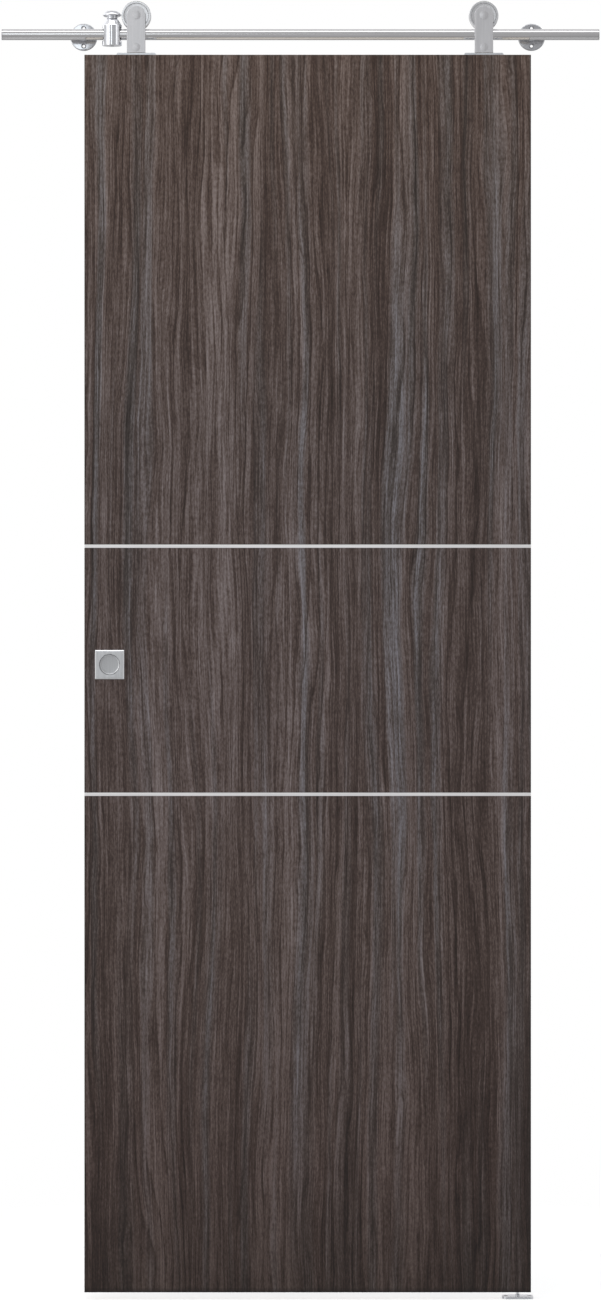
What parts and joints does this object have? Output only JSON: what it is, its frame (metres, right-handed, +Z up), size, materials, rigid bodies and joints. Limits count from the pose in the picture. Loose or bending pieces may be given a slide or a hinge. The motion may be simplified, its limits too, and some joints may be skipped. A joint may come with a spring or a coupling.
{
  "type": "sliding barn door",
  "caption": "Flush sliding door leaf with two inlaid strips and flush pulls, hung by strap hangers and grooved wheels on a short round rail with wall brackets, a rail stop and a floor guide.",
  "frame": {"origin": "on the wall's face, level with the rail's axis and midway between the two wall flanges (the centre of the four wall screw holes)", "axes": "+X along the rail in the opening direction, +Y into the wall, +Z up; the door hangs closed against its stop"},
  "size_m": [1.033, 0.0648, 2.2405],
  "materials": {
    "satin_steel": "satin ground stainless tube",
    "bracket_steel": "satin turned stainless",
    "plated_steel": "bright zinc plate",
    "polished_steel": "polished stainless",
    "soft_pad": "matt",
    "softwood": "sawn, unfinished",
    "chipboard": "pressed chips, unfinished",
    "wood_grain_laminate": "matt grey-brown laminate with an upright grain",
    "edge_band": "matt band with the same grain",
    "aluminium_strip": "satin anodised",
    "pull_metal": "satin, blasted",
    "hanger_steel": "satin ground stainless",
    "wheel_steel": "turned stainless",
    "bearing_steel": "ground and polished"
  },
  "bodies": {
    "track": {"rail": "satin_steel", "end_cap_left": "satin_steel", "end_cap_right": "satin_steel", "rail_nuts": "plated_steel", "flange_left": "bracket_steel", "flange_right": "bracket_steel", "standoff_left": "bracket_steel", "standoff_right": "bracket_steel", "rail_bolt_left": "plated_steel", "rail_bolt_right": "plated_steel", "guide_plate": "bracket_steel", "guide_pin": "bracket_steel"},
    "stop": {"stop_body": "polished_steel"},
    "stop_pad": {"stop_pad": "soft_pad"},
    "stop_screw": {"stop_knob": "polished_steel"},
    "door": {"stile_left": "softwood", "stile_right": "softwood", "top_rail": "softwood", "bottom_rail": "softwood", "pull_block": "softwood", "core_upper": "chipboard", "core_middle": "chipboard", "core_lower": "chipboard", "front_skin": "wood_grain_laminate", "back_skin": "wood_grain_laminate", "edge_band_left": "edge_band", "edge_band_right": "edge_band", "front_strip_upper": "aluminium_strip", "front_strip_lower": "aluminium_strip", "back_strip_upper": "aluminium_strip", "back_strip_lower": "aluminium_strip", "front_pull": "pull_metal", "back_pull": "pull_metal", "hanger_foot_left": "hanger_steel", "hanger_foot_right": "hanger_steel", "foot_screws_left": "plated_steel", "foot_screws_right": "plated_steel", "strap_left": "hanger_steel", "strap_right": "hanger_steel", "strap_rivet_left": "hanger_steel", "strap_rivet_right": "hanger_steel", "axle_left": "hanger_steel", "axle_right": "hanger_steel", "front_spacer_left": "plated_steel", "front_spacer_right": "plated_steel", "rear_spacer_left": "plated_steel", "rear_spacer_right": "plated_steel", "axle_nut_left": "plated_steel", "axle_nut_right": "plated_steel", "inner_ring_left": "bearing_steel", "inner_ring_right": "bearing_steel"},
    "wheel_left": {"wheel_left": "wheel_steel", "outer_ring_left": "bearing_steel", "balls_left": "bearing_steel"},
    "wheel_right": {"wheel_right": "wheel_steel", "outer_ring_right": "bearing_steel", "balls_right": "bearing_steel"}
  },
  "joints": [
    {"name": "door_slide", "type": "slide", "parent": "track", "child": "door", "axis": [1, 0, 0], "range_m": [0, 0.17]},
    {"name": "wheel_left_spin", "type": "hinge", "parent": "door", "child": "wheel_left", "pos_m": [-0.296, -0.043, 0.032], "axis": [0, 1, 0], "continuous": true},
    {"name": "wheel_right_spin", "type": "hinge", "parent": "door", "child": "wheel_right", "pos_m": [0.304, -0.043, 0.032], "axis": [0, 1, 0], "continuous": true},
    {"name": "stop_shift", "type": "slide", "parent": "track", "child": "stop", "axis": [1, 0, 0], "range_m": [-0.024, 0]},
    {"name": "stop_pad_lift", "type": "slide", "parent": "stop", "child": "stop_pad", "axis": [0, 0, 1], "range_m": [0, 0.00125]},
    {"name": "stop_knob_turn", "type": "hinge", "parent": "stop_pad", "child": "stop_screw", "pos_m": [-0.338, -0.043, 0.03], "axis": [0, 0, 1], "range_deg": [0, 360]}
  ],
  "couplings": [
    {"joint": "wheel_left_spin", "follows": "door_slide", "rad_per_m": 44.444},
    {"joint": "wheel_right_spin", "follows": "door_slide", "rad_per_m": 44.444},
    {"joint": "stop_knob_turn", "follows": "stop_pad_lift", "rad_per_m": 5026.5}
  ]
}
